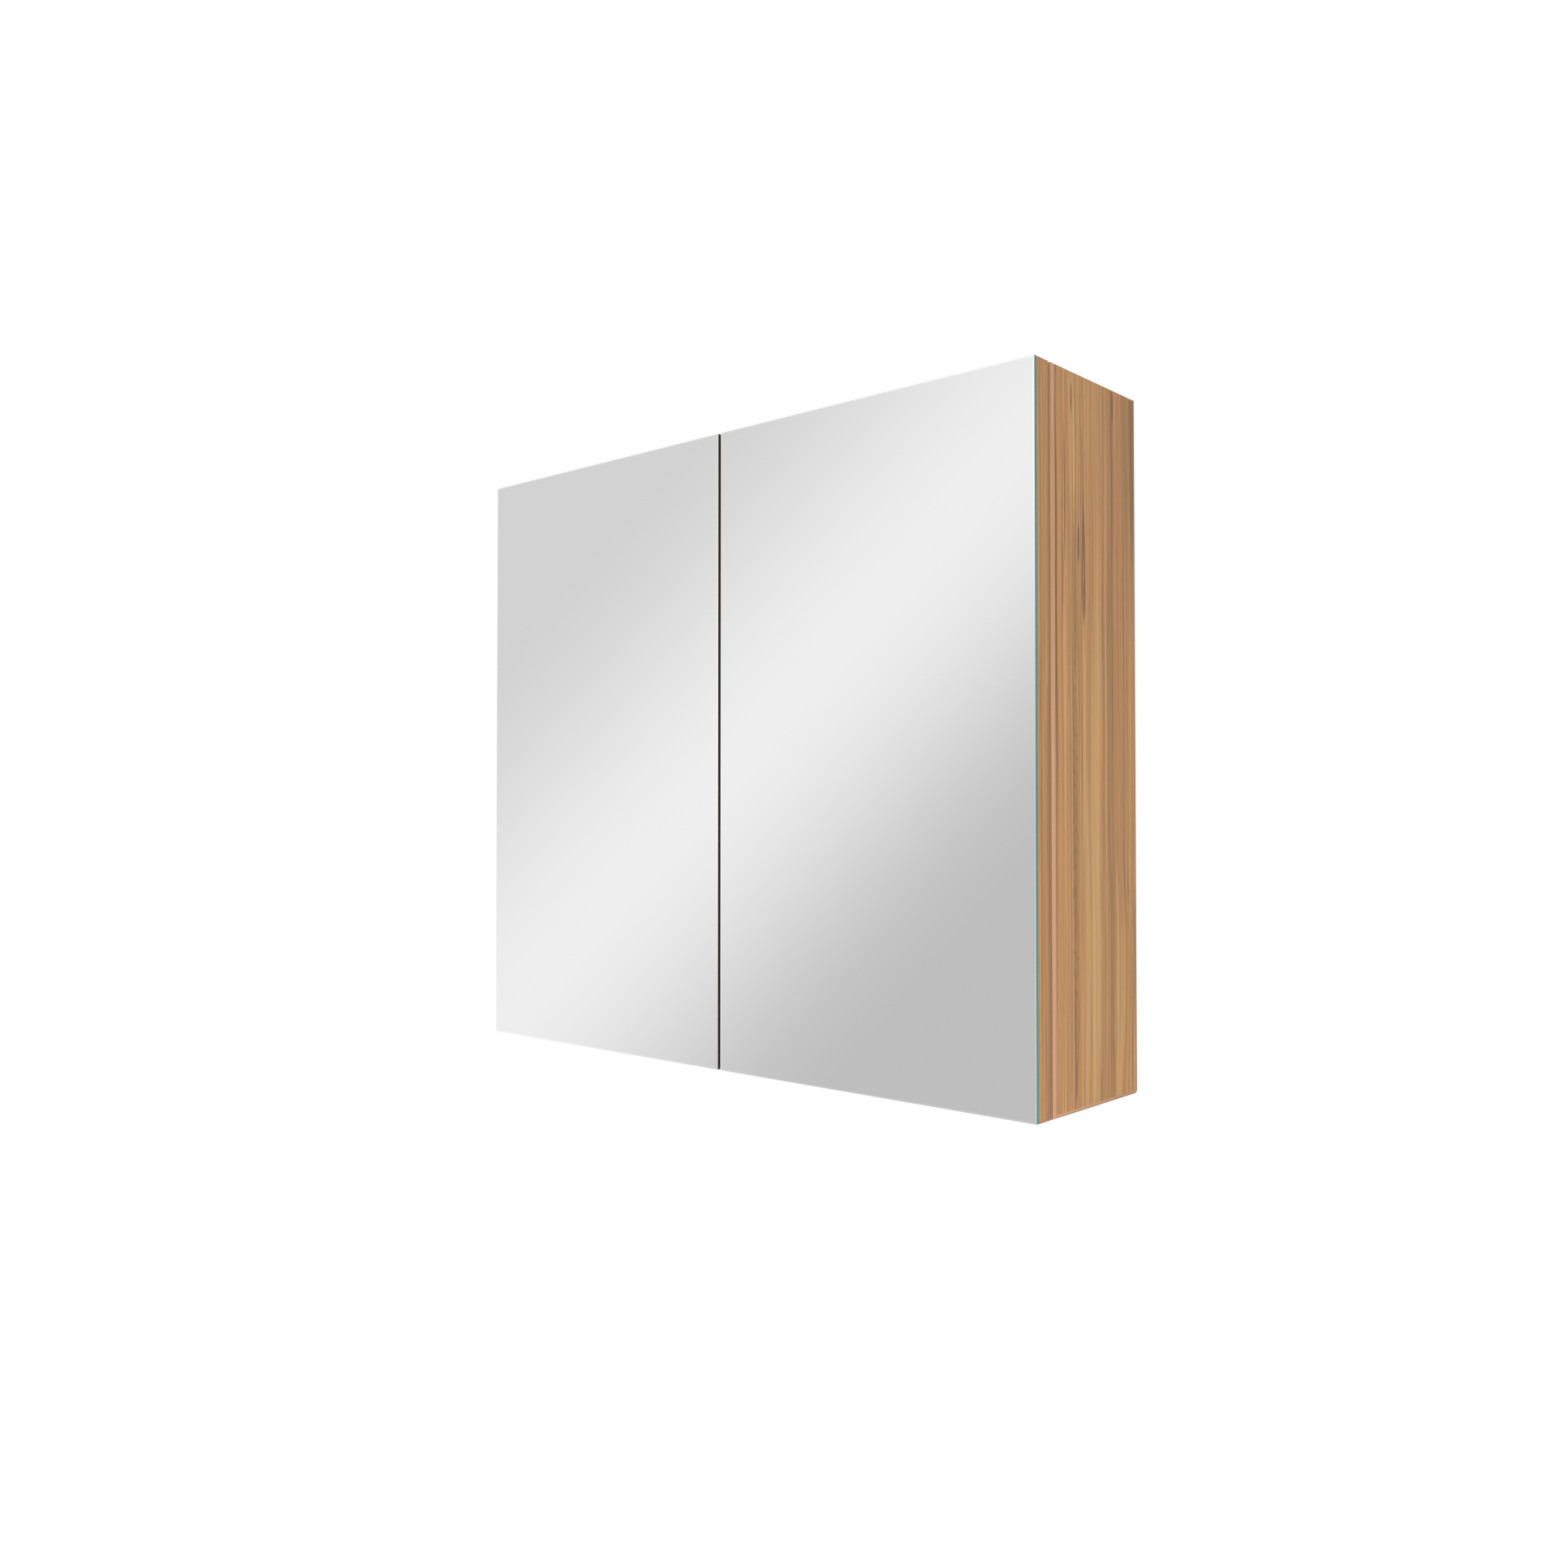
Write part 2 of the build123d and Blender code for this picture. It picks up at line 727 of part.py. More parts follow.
# Carcass
side_core, side_lipping, side_bands = side_pieces()
save_pair("side_panel", side_core)
save_pair("front_lipping", side_lipping)
save("top_panel", cross_panel(top - panel_thickness))
save("bottom_panel", cross_panel(bottom))
save("back_panel", back_panel())
band_solids = []
for band in side_bands:
    band_solids += both_sides(band)
band_solids.append(cross_band(top - panel_thickness))
band_solids.append(cross_band(bottom))
save("carcass_edge_bands", group(band_solids))
dowel_solids = []
for dowel in dowels(dowel_radius, 0):
    dowel_solids += both_sides(dowel)
save("corner_dowels", group(dowel_solids))

# Shelves
shelf_names = ["lower_shelf", "upper_shelf"]
for index, name in enumerate(shelf_names):
    save(name, shelf(index))
save("shelf_pins", group([part for pin in shelf_pins() for part in both_sides(pin)]))
save("shelf_pin_sleeves", group([part for sleeve in shelf_sleeves() for part in both_sides(sleeve)]))

# Hangers
save_pair("hanger_housing", hanger_housing())
save_pair("hanger_hook", hanger_hook())
save_pair("wall_plate", wall_plate())
save("hanger_screws", group([part for screw in hanger_screws() for part in both_sides(screw)]))
save("hanger_covers", group(both_sides(hanger_cover())))

# Hinges, one upper and one lower on each side
for level, height in hinge_heights.items():
    save_pair(f"{level}_hinge_plate", place(hinge_plate(), height))
    save_pair(f"{level}_hinge_arm", place(hinge_arm(), height))
    save_pair(f"{level}_outer_link", place(outer_link(), height))
    save_pair(f"{level}_inner_link", place(inner_link(), height))
    save_pair(f"{level}_hinge_cup", place(hinge_cup(), height))


def at_both_heights(shapes):
    """Small hinge pieces of the right side, at the upper and the lower hinge."""
    return [place(shape, height) for height in hinge_heights.values() for shape in shapes]


def mirrored(shapes):
    return [mirror(shape, about=Plane.YZ) for shape in shapes]


right_plate_screws = at_both_heights(plate_screws())
save("hinge_plate_screws", group(right_plate_screws + mirrored(right_plate_screws)))
right_arm_screws = at_both_heights(arm_screws())
save("hinge_arm_screws", group(right_arm_screws + mirrored(right_arm_screws)))
right_arm_pins = at_both_heights(arm_pins())
save("hinge_arm_pins", group(right_arm_pins + mirrored(right_arm_pins)))

# Doors
board_core, board_bands = door_board_pieces()
save_pair("door_board", board_core)
save_pair("mirror_bond", mirror_bond())
save_pair("mirror", mirror_pane())
door_groups = {
    "door_edge_bands": board_bands,
    "cup_pins": at_both_heights(cup_pins()),
    "cup_screws": at_both_heights(cup_screws()),
    "door_bumpers": bumpers(),
}
for name, shapes in door_groups.items():
    save(f"right_{name}", group(shapes))
    save(f"left_{name}", group(mirrored(shapes)))
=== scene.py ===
import json
import math

import bmesh
import bpy
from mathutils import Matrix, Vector


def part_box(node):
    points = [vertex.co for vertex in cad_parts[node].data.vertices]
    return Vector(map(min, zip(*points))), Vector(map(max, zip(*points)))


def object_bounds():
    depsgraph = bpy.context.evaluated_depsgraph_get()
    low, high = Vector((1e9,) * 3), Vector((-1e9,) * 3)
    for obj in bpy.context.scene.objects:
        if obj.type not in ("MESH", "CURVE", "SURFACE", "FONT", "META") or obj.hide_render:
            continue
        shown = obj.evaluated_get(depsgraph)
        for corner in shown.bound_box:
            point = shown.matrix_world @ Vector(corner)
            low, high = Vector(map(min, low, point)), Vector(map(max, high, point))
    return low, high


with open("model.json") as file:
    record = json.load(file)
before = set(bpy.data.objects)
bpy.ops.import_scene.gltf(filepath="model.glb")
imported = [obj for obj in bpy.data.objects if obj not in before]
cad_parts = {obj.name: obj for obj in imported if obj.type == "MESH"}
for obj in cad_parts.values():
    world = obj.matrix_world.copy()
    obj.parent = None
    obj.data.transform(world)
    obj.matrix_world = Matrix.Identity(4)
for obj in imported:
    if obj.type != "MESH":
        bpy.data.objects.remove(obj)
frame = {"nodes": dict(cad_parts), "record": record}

# The looks of a wall-hung mirror cabinet: two mirror doors on a wood decor carcass.
# Metres. X runs along the wall, -Y is the front and +Z is up.

nodes = frame["nodes"]
cad_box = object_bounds()
box_low, box_high = cad_box

# Places read from the frame
top_z = box_high.z
bottom_z = box_low.z
glass_front = box_low.y
carcass_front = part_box("right_front_lipping")[0].y
rear_band_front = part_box("right_side_panel")[1].y
bottom_band_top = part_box("right_side_panel")[0].z
door_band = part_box("right_door_board")[0].z - bottom_z
door_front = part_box("right_door_board")[0].y
door_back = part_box("right_door_board")[1].y
inner_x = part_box("top_panel")[1].x

# Room for rounding where a point is tested against a place
hair = 0.0001

# Photograph: a square frame, with the focal length found from the cabinet's corners
photo_size = 1932
focal_pixels = 1709.389
camera_azimuth = 41.527
camera_pitch = 1.084
camera_place = Vector((1.063507, -1.285441, -0.349874))
sensor_width = 36.0

# Wood decor: where each board lies in the pattern
side_seed = (0.31, 0.17, 0.4)
door_seed = (2.1, 0.63, 0.0)
inside_seed = (0.7, 0.1, 0.2)
lipping_seed = (1.3, 0.2, 0.9)
back_seed = (4.0, 0.5, 0.3)
beech_seed = (5.2, 1.5, 0.3)

# Streaks of the decor, as width, turns along a metre, detail and weight
streak_layers = [
    (0.032, 0.45, 1.0, 0.12),
    (0.0095, 0.8, 1.0, 0.15),
    (0.0042, 1.3, 1.0, 0.25),
    (0.0019, 3.0, 1.0, 0.33),
]
streak_edges = (0.36, 0.64)

# Pores and reddish patches of the decor: width, turns along a metre, and the levels of the
# noise between which they fade in
pore_width = 0.0007
pore_turns = 55.0
pore_edges = (0.66, 0.78)
pore_darkness = 0.3
red_width = 0.016
red_turns = 1.2
red_edges = (0.48, 0.75)

# Slow and quick sway of the grain, as turns along a metre and reach
slow_turns = 2.6
slow_reach = 0.012
quick_turns = (14.0, 14.0, 7.0)
quick_reach = 0.0018

# Soft edges of a fleck, and of the patches and grit of the other surfaces
fleck_edges = (1.0, 0.3)
wear_edges = (0.3, 0.7)

# Satin surface of the decor
light_roughness = 0.44
dark_roughness = 0.52
pore_roughness = 0.15
streak_relief = 0.4
relief_height = 0.0001
relief_strength = 0.5
decor_specular = 0.18

# Mirrors: how much they reflect, how far the arris is shaded as flat as the front, how
# squarely a face stands to the front to count as flat or as half turned, and how far from
# the middle of the cabinet a pane's edge gets painted shade for the shaded middle gap
mirror_reflectance = 0.92
arris_polish = 0.95
flat_limit = 0.999
half_turned = 0.5
gap_shade_half = 0.01
green_fade = (0.001, 0.0036)
least_haze = 0.006
haze_spread = 0.008
edge_roughness = 0.22
ground_roughness = 0.18

# Room that the mirrors show: greys against the lean of a ray towards band_direction
band_direction = Vector((-0.528, 0.524, 0.668))
band_dark = 0.515
band_middle = 0.644
band_bright = 0.856
room_bands = [
    (-1.0, 0.58),
    (-0.82, 0.62),
    (-0.56, 0.86),
    (-0.32, band_dark),
    (-0.20, band_dark),
    (0.008, band_bright),
    (0.188, band_middle),
    (0.45, band_middle),
    (0.68, 0.86),
    (1.0, 0.70),
]

# Studio: light of the world, floor, and lamps as name, place, point faced, size and watts
world_light = 0.74
floor_drop = 1.25
floor_half = 2.0
floor_glow = 0.45
floor_roughness = 0.9
lamps = [
    ("side lamp", (2.1, -1.2, -1.25), (0.4, -0.1, -0.4), 1.2, 19),
    ("front lamp", (-0.6, -2.6, 0.9), (0.0, -0.1, -0.3), 1.5, 16),
    ("rear lamp", (-1.8, 1.9, 0.9), (0.0, 0.0, -0.3), 1.5, 10),
]


def paint(red, green, blue):
    """Linear colour of an sRGB colour given from 0 to 255."""
    linear = []
    for level in (red, green, blue):
        share = level / 255
        if share <= 0.04045:
            linear.append(share / 12.92)
        else:
            linear.append(((share + 0.055) / 1.055) ** 2.4)
    return (*linear, 1.0)


def grey(level):
    """Linear grey."""
    return (level, level, level, 1.0)


white = grey(1.0)
wood_dark = paint(138, 102, 72)
wood_middle = paint(178, 133, 88)
wood_light = paint(206, 160, 109)
wood_red = paint(176, 122, 82)


class Graph:
    """Short calls that add nodes to a node tree and link them."""

    def __init__(self, tree):
        self.tree = tree

    def add(self, kind, settings=None, **sockets):
        made = self.tree.nodes.new(kind)
        for name, value in (settings or {}).items():
            setattr(made, name, value)
        for name, value in sockets.items():
            self.feed(made.inputs[name.replace("_", " ")], value)
        return made

    def feed(self, socket, value):
        """Links another node's output to a socket, or sets the socket's own value."""
        if isinstance(value, bpy.types.NodeSocket):
            self.tree.links.new(value, socket)
        else:
            socket.default_value = value

    def math(self, operation, *values):
        made = self.add("ShaderNodeMath", {"operation": operation})
        for socket, value in zip(made.inputs, values):
            self.feed(socket, value)
        return made.outputs[0]

    def vector_math(self, operation, *values):
        made = self.add("ShaderNodeVectorMath", {"operation": operation})
        for socket, value in zip(made.inputs, values):
            self.feed(socket, value)
        return made.outputs["Value" if operation == "DOT_PRODUCT" else "Vector"]

    def mix(self, share, first, second):
        """A colour that goes from first to second."""
        made = self.add("ShaderNodeMix", {"data_type": "RGBA"})
        self.feed(made.inputs["Factor"], share)
        self.feed(made.inputs[6], first)
        self.feed(made.inputs[7], second)
        return made.outputs[2]

    def between(self, share, first, second):
        """A number that goes from first to second."""
        made = self.add("ShaderNodeMix", {"data_type": "FLOAT"})
        self.feed(made.inputs[0], share)
        self.feed(made.inputs[2], first)
        self.feed(made.inputs[3], second)
        return made.outputs[0]

    def span(self, value, low, high, to_low=0.0, to_high=1.0):
        """Smooth step of a value from low to high."""
        made = self.add("ShaderNodeMapRange", {"interpolation_type": "SMOOTHSTEP"})
        for socket, number in zip(made.inputs, (value, low, high, to_low, to_high)):
            self.feed(socket, number)
        return made.outputs[0]

    def noise(self, vector, scale=1.0, detail=2.0):
        return self.add("ShaderNodeTexNoise", Vector=vector, Scale=scale, Detail=detail).outputs["Fac"]

    def streaks(self, vector, width, turns, detail):
        """Noise stretched along Z: its width across, and its turns along a metre."""
        stretched = self.vector_math("MULTIPLY", vector, (1 / width, 1 / width, turns))
        return self.noise(stretched, detail=detail)

    def parts(self, vector):
        """The X, Y and Z of a vector."""
        return self.add("ShaderNodeSeparateXYZ", Vector=vector).outputs

    def group(self, tree, **sockets):
        """Places a node group with its own input values."""
        return self.add("ShaderNodeGroup", {"node_tree": tree}, **sockets).outputs

    def bump(self, height, distance, strength=1.0):
        made = self.add("ShaderNodeBump", Height=height, Distance=distance, Strength=strength)
        return made.outputs["Normal"]


# Shared effects

def new_group(name, inputs, outputs):
    """Empty shader node group, with its input and output sockets made."""
    tree = bpy.data.node_groups.new(name, "ShaderNodeTree")
    for socket, kind, value in inputs:
        made = tree.interface.new_socket(socket, in_out="INPUT", socket_type=f"NodeSocket{kind}")
        if value is not None:
            made.default_value = value
    for socket, kind in outputs:
        tree.interface.new_socket(socket, in_out="OUTPUT", socket_type=f"NodeSocket{kind}")
    graph = Graph(tree)
    return graph, graph.add("NodeGroupInput").outputs, graph.add("NodeGroupOutput").inputs


def make_sway_group():
    """How far the grain sways across the board, in metres."""
    g, given, result = new_group("grain sway", [("Vector", "Vector", None)], [("Sway", "Float")])
    slow = g.noise(given["Vector"], slow_turns, detail=1.0)
    quick = g.noise(g.vector_math("MULTIPLY", given["Vector"], quick_turns), detail=1.0)
    slow = g.math("MULTIPLY", g.math("SUBTRACT", slow, 0.5), slow_reach)
    quick = g.math("MULTIPLY", g.math("SUBTRACT", quick, 0.5), quick_reach)
    g.feed(result["Sway"], g.math("ADD", slow, quick))
    return g.tree


def make_grain_group():
    """Fine wood decor with its grain along Z: streaks of four widths and short pores."""
    inputs = [
        ("Vector", "Vector", None),
        ("Seed", "Vector", (0.0, 0.0, 0.0)),
        ("Sway", "Float", 0.0),
        ("Dark", "Color", wood_dark),
        ("Middle", "Color", wood_middle),
        ("Light", "Color", wood_light),
        ("Contrast", "Float", 1.0),
        ("Red", "Float", 0.45),
    ]
    outputs = [("Color", "Color"), ("Roughness", "Float"), ("Height", "Float")]
    g, given, result = new_group("wood decor grain", inputs, outputs)
    sway = g.add("ShaderNodeCombineXYZ", X=given["Sway"], Y=given["Sway"]).outputs[0]
    place = g.vector_math("ADD", g.vector_math("ADD", given["Vector"], given["Seed"]), sway)
    total = 0.5
    for width, turns, detail, weight in streak_layers:
        crisp = g.span(g.streaks(place, width, turns, detail), *streak_edges, -0.5, 0.5)
        total = g.math("MULTIPLY_ADD", crisp, g.math("MULTIPLY", given["Contrast"], weight), total)
    pores = g.span(g.streaks(place, pore_width, pore_turns, 0.0), *pore_edges)
    lower = g.mix(g.span(total, 0.0, 0.5), given["Dark"], given["Middle"])
    colour = g.mix(g.span(total, 0.5, 1.0), lower, given["Light"])
    red = g.span(g.streaks(place, red_width, red_turns, 1.0), *red_edges, 0.0, given["Red"])
    colour = g.mix(red, colour, wood_red)
    pored = g.mix(g.math("MULTIPLY", pores, pore_darkness), colour, given["Dark"])
    roughness = g.between(total, dark_roughness, light_roughness)
    g.feed(result["Color"], pored)
    g.feed(result["Roughness"], g.math("MULTIPLY_ADD", pores, pore_roughness, roughness))
    g.feed(result["Height"], g.math("SUBTRACT", g.math("MULTIPLY", total, streak_relief), pores))
    return g.tree


def make_fleck_group():
    """Soft-edged lens on a face across X, long in Z, that may lean as it rises."""
    inputs = [
        ("Vector", "Vector", None),
        ("Centre Y", "Float", 0.0),
        ("Centre Z", "Float", 0.0),
        ("Half Width", "Float", 0.002),
        ("Half Length", "Float", 0.02),
        ("Lean", "Float", 0.0),
        ("Sway", "Float", 0.0),
    ]
    g, given, result = new_group("decor fleck", inputs, [("Mask", "Float")])
    place = g.parts(given["Vector"])
    up = g.math("SUBTRACT", place["Z"], given["Centre Z"])
    across = g.math("SUBTRACT", place["Y"], given["Centre Y"])
    across = g.math("SUBTRACT", across, g.math("MULTIPLY", up, given["Lean"]))
    across = g.math("ADD", across, given["Sway"])
    across = g.math("DIVIDE", across, given["Half Width"])
    up = g.math("DIVIDE", up, given["Half Length"])
    reach = g.math("ADD", g.math("MULTIPLY", across, across), g.math("MULTIPLY", up, up))
    g.feed(result["Mask"], g.span(reach, *fleck_edges))
    return g.tree


def make_wear_group():
    """Slow and fine unevenness of a worn or pressed surface."""
    inputs = [
        ("Vector", "Vector", None),
        ("Patch Size", "Float", 0.02),
        ("Grit Size", "Float", 0.0006),
    ]
    outputs = [("Patches", "Float"), ("Grit", "Float")]
    g, given, result = new_group("surface unevenness", inputs, outputs)
    patches = g.noise(given["Vector"], g.math("DIVIDE", 1.0, given["Patch Size"]), detail=3.0)
    grit = g.noise(given["Vector"], g.math("DIVIDE", 1.0, given["Grit Size"]), detail=1.0)
    g.feed(result["Patches"], g.span(patches, *wear_edges))
    g.feed(result["Grit"], g.span(grit, *wear_edges))
    return g.tree


sway_group = make_sway_group()
grain_group = make_grain_group()
fleck_group = make_fleck_group()
wear_group = make_wear_group()


# Wood decor and bands

def new_material(name):
    """Material with a Principled shader; returns its graph, shader and coordinates."""
    material = bpy.data.materials.new(name)
    material.use_nodes = True
    graph = Graph(material.node_tree)
    shader = next(n for n in material.node_tree.nodes if n.type == "BSDF_PRINCIPLED")
    place = graph.add("ShaderNodeTexCoord")
    return material, graph, shader, place


def along_x(graph, vector):
    """Coordinates turned so that the grain runs along X."""
    mapping = graph.add("ShaderNodeMapping", Vector=vector, Rotation=(0.0, math.pi / 2, 0.0))
    return mapping.outputs["Vector"]


def finish_wood(g, shader, grain, colour):
    """Links a satin wood surface."""
    g.feed(shader.inputs["Base Color"], colour)
    g.feed(shader.inputs["Roughness"], grain["Roughness"])
    g.feed(shader.inputs["Normal"], g.bump(grain["Height"], relief_height, relief_strength))
    shader.inputs["Specular IOR Level"].default_value = decor_specular


def door_decor():
    """Plain wood decor with upright grain."""
    material, g, shader, place = new_material("door board wood decor")
    vector = place.outputs["Object"]
    sway = g.group(sway_group, Vector=vector)["Sway"]
    grain = g.group(grain_group, Vector=vector, Seed=door_seed, Sway=sway)
    finish_wood(g, shader, grain, grain["Color"])
    return material


def inside_decor():
    """Plain wood decor with level grain."""
    material, g, shader, place = new_material("top and bottom wood decor")
    vector = along_x(g, place.outputs["Object"])
    sway = g.group(sway_group, Vector=vector)["Sway"]
    grain = g.group(grain_group, Vector=vector, Seed=inside_seed, Sway=sway)
    finish_wood(g, shader, grain, grain["Color"])
    return material


# Marks in the side decor, as centre Y, centre Z, half width, half length, lean and strength
dark_tone = paint(116, 86, 64)
dark_marks = [
    (-0.1125, -0.096, 0.0020, 0.024, 0.0, 0.9),
    (-0.1045, -0.098, 0.0018, 0.070, 0.020, 0.8),
    (-0.1010, -0.112, 0.0018, 0.060, -0.026, 0.8),
    (-0.1025, -0.150, 0.0024, 0.026, 0.0, 0.7),
    (-0.1245, 0.041, 0.0016, 0.018, 0.0, 0.7),
    (-0.1210, -0.575, 0.0012, 0.064, -0.020, 0.5),
    (-0.1165, -0.570, 0.0012, 0.058, 0.040, 0.5),
    (-0.1195, -0.606, 0.0014, 0.026, 0.0, 0.6),
    (-0.1540, -0.160, 0.0013, 0.250, 0.0, 0.85),
    (-0.0470, -0.080, 0.0022, 0.330, 0.0, 0.45),
    (-0.0505, -0.300, 0.0075, 0.600, 0.0, 0.32),
    (-0.0450, 0.050, 0.0020, 0.020, 0.0, 0.8),
    (-0.0640, -0.330, 0.0040, 0.480, 0.0, 0.2),
    (-0.0045, 0.050, 0.0100, 0.170, 0.0, 0.5),
    (-0.0110, 0.010, 0.0120, 0.260, 0.0, 0.25),
    (-0.1380, -0.054, 0.0012, 0.080, 0.0, 0.7),
    (-0.1415, -0.130, 0.0014, 0.045, 0.0, 0.5),
    (-0.1190, -0.130, 0.0050, 0.110, 0.0, 0.25),
    (-0.1210, -0.400, 0.0060, 0.240, 0.0, 0.25),
    (-0.0245, -0.230, 0.0022, 0.330, 0.0, 0.18),
]
light_tone = paint(206, 164, 112)
light_marks = [
    (-0.1205, -0.015, 0.0018, 0.085, 0.0, 0.9),
    (-0.0607, -0.230, 0.0016, 0.260, 0.0, 0.8),
    (-0.0980, -0.500, 0.0060, 0.220, 0.0, 0.5),
    (-0.0850, -0.420, 0.0090, 0.300, 0.0, 0.45),
    (-0.0770, -0.380, 0.0045, 0.320, 0.0, 0.5),
    (-0.1030, -0.290, 0.0030, 0.120, 0.0, 0.5),
    (-0.1400, -0.260, 0.0024, 0.140, 0.0, 0.4),
    (-0.0360, -0.560, 0.0080, 0.160, 0.0, 0.4),
]
orange_tone = paint(198, 146, 88)
orange_marks = [
    (-0.1045, 0.028, 0.0014, 0.022, 0.0, 0.6),
    (-0.1485, -0.280, 0.0045, 0.500, 0.0, 0.45),
    (-0.0240, -0.560, 0.0060, 0.160, 0.0, 0.3),
]

# Nested arches in the side decor: the lens that holds them, then the slope, height,
# raggedness and stroke of the arches
curl_tone = paint(136, 103, 74)
curl_strength = 0.45
curl_centre = (-0.121, -0.394)
curl_reach = (0.0065, 0.26)
curl_slope = 1.6
curl_pitch = 0.019
curl_raggedness = 3.0
curl_noise_turns = (90.0, 90.0, 26.0)
curl_stroke_edges = (0.5, 0.98)


def curls(g, vector, sway):
    """Mask of small nested arches, as where a growth ring is cut flat."""
    part = g.parts(vector)
    across = g.math("ABSOLUTE", g.math("ADD", g.math("SUBTRACT", part["Y"], curl_centre[0]), sway))
    ragged = g.noise(g.vector_math("MULTIPLY", vector, curl_noise_turns), detail=2.0)
    rise = g.math("DIVIDE", g.math("MULTIPLY_ADD", across, curl_slope, part["Z"]), curl_pitch)
    phase = g.math("MULTIPLY_ADD", ragged, curl_raggedness, rise)
    stroke = g.span(g.math("SINE", g.math("MULTIPLY", phase, 2 * math.pi)), *curl_stroke_edges)
    here = g.group(fleck_group, Vector=vector, Centre_Y=curl_centre[0], Centre_Z=curl_centre[1],
                   Half_Width=curl_reach[0], Half_Length=curl_reach[1], Sway=sway)
    return g.math("MULTIPLY", stroke, here["Mask"])


def marked(g, place, sway, colour, marks, tone):
    """Lays a list of flecks of one tone over the decor."""
    for across, up, half_width, half_length, lean, strength in marks:
        fleck = g.group(fleck_group, Vector=place, Centre_Y=across, Centre_Z=up, Sway=sway,
                        Half_Width=half_width, Half_Length=half_length, Lean=lean)
        colour = g.mix(g.math("MULTIPLY", fleck["Mask"], strength), colour, tone)
    return colour


def side_decor():
    """Side panel decor, with the streaks and flecks of the photographed board."""
    material, g, shader, place = new_material("side panel wood decor")
    vector = place.outputs["Object"]
    sway = g.group(sway_group, Vector=vector)["Sway"]
    grain = g.group(grain_group, Vector=vector, Seed=side_seed, Sway=sway)
    colour = marked(g, vector, sway, grain["Color"], light_marks, light_tone)
    colour = marked(g, vector, sway, colour, orange_marks, orange_tone)
    colour = g.mix(g.math("MULTIPLY", curls(g, vector, sway), curl_strength), colour, curl_tone)
    colour = marked(g, vector, sway, colour, dark_marks, dark_tone)
    finish_wood(g, shader, grain, colour)
    return material


def lipping():
    """Front lipping of the sides, pale pinkish, partly its own tone and partly a painted highlight of
    its rounded edge, with painted shade on its rounded corners, deeper towards the bottom, and painted
    light on its front face, where the gap behind the door is shaded.
    """
    # Painted shade on the rounded corners, deeper towards the bottom, and painted light on the front
    # face, for the shaded gap behind the door
    upper_corner_painted_shade = paint(166, 125, 94)
    lower_corner_painted_shade = paint(152, 105, 86)
    front_face_painted_light = paint(192, 152, 116)
    corner_shade_heights = (-0.25, -0.55)
    corner_shade_turn = (-0.02, -0.30)
    front_light_turn = (-0.75, -0.97)
    material, g, shader, place = new_material("pale front lipping")
    vector = place.outputs["Object"]
    sway = g.group(sway_group, Vector=vector)["Sway"]
    grain = g.group(grain_group, Vector=vector, Seed=lipping_seed, Sway=sway, Red=0.0,
                    Dark=paint(176, 132, 100), Middle=paint(200, 152, 117), Light=paint(214, 168, 130))
    facing = g.parts(place.outputs["Normal"])["Y"]
    # The corner colour is painted shade and the front face colour is painted light
    corner = g.mix(g.span(g.parts(vector)["Z"], *corner_shade_heights), upper_corner_painted_shade, lower_corner_painted_shade)
    colour = g.mix(g.span(facing, *corner_shade_turn), grain["Color"], corner)
    colour = g.mix(g.span(facing, *front_light_turn), colour, front_face_painted_light)
    finish_wood(g, shader, grain, colour)
    return material


def carcass_bands():
    """Edge bands: pale under the sides, partly their own tone and partly a painted highlight that
    fades darker towards the back as painted light falloff, orange brown at the rear and decor
    elsewhere.
    """
    # The pale band is partly a painted highlight, and its fade from front to back is painted light
    # falloff
    pale_front_with_painted_light = paint(200, 153, 117)
    pale_rear_with_painted_falloff = paint(182, 136, 98)
    underside = paint(150, 104, 82)
    orange_brown = paint(176, 118, 76)
    orange_share = 0.8
    underside_top = bottom_z + 0.0011
    underside_full = bottom_z + 0.0003
    material, g, shader, place = new_material("carcass edge bands")
    vector = place.outputs["Object"]
    part = g.parts(vector)
    sway = g.group(sway_group, Vector=vector)["Sway"]
    upright = g.group(grain_group, Vector=vector, Seed=side_seed, Sway=sway)
    level = g.group(grain_group, Vector=along_x(g, vector), Seed=inside_seed, Sway=sway)
    between_sides = g.math("LESS_THAN", g.math("ABSOLUTE", part["X"]), inner_x)
    colour = g.mix(between_sides, upright["Color"], level["Color"])
    at_sides = g.math("SUBTRACT", 1.0, between_sides)
    low = g.math("MULTIPLY", at_sides, g.math("LESS_THAN", part["Z"], bottom_band_top + hair))
    # Painted light falloff: the pale band darkens from the carcass front towards the back
    pale = g.mix(g.span(part["Y"], carcass_front, 0.0), pale_front_with_painted_light, pale_rear_with_painted_falloff)
    underline = g.span(part["Z"], underside_top, underside_full)
    colour = g.mix(low, colour, g.mix(underline, pale, underside))
    rear = g.math("MULTIPLY", at_sides, g.math("GREATER_THAN", part["Y"], rear_band_front - hair))
    colour = g.mix(g.math("MULTIPLY", rear, orange_share), colour, orange_brown)
    finish_wood(g, shader, upright, colour)
    return material


